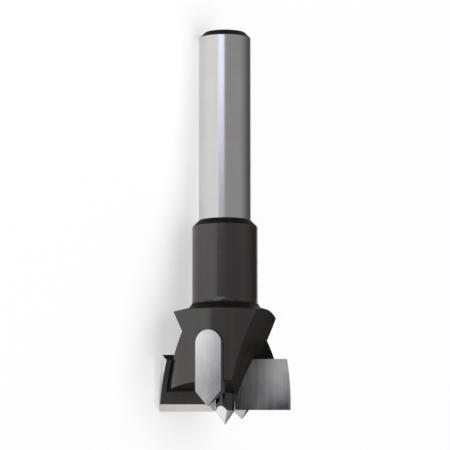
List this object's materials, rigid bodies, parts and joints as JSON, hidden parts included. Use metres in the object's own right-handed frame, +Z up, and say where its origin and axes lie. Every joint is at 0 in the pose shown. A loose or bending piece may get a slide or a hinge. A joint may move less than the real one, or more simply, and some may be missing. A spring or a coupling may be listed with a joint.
{
  "type": "hinge boring bit",
  "caption": "Boring bit for hinge cups: plain round shank, collar and round head with leaning carbide cutter plates, scoring spurs and a centre point.",
  "frame": {"origin": "on the floor, under the middle of the bit's bounding box, as it lies at rest", "axes": "+Y towards the shank's end, +Z up; the bit lies on one cutter's corner, one land's rim and the shank's end, so the shank slopes down 5.2 degrees towards +Y"},
  "size_m": [0.025, 0.0756, 0.023],
  "materials": {
    "body_steel": "tool steel, head and collar blackened and glossy, shank and centre point ground bright",
    "cutter_carbide": "carbide, ground, with fine lines up the rake face",
    "spur_carbide": "carbide, finely ground"
  },
  "bodies": {
    "root": {"bit_body": "body_steel", "cutter_tip_1": "cutter_carbide", "cutter_tip_2": "cutter_carbide", "spur_tip_1": "spur_carbide", "spur_tip_2": "spur_carbide"}
  },
  "joints": []
}
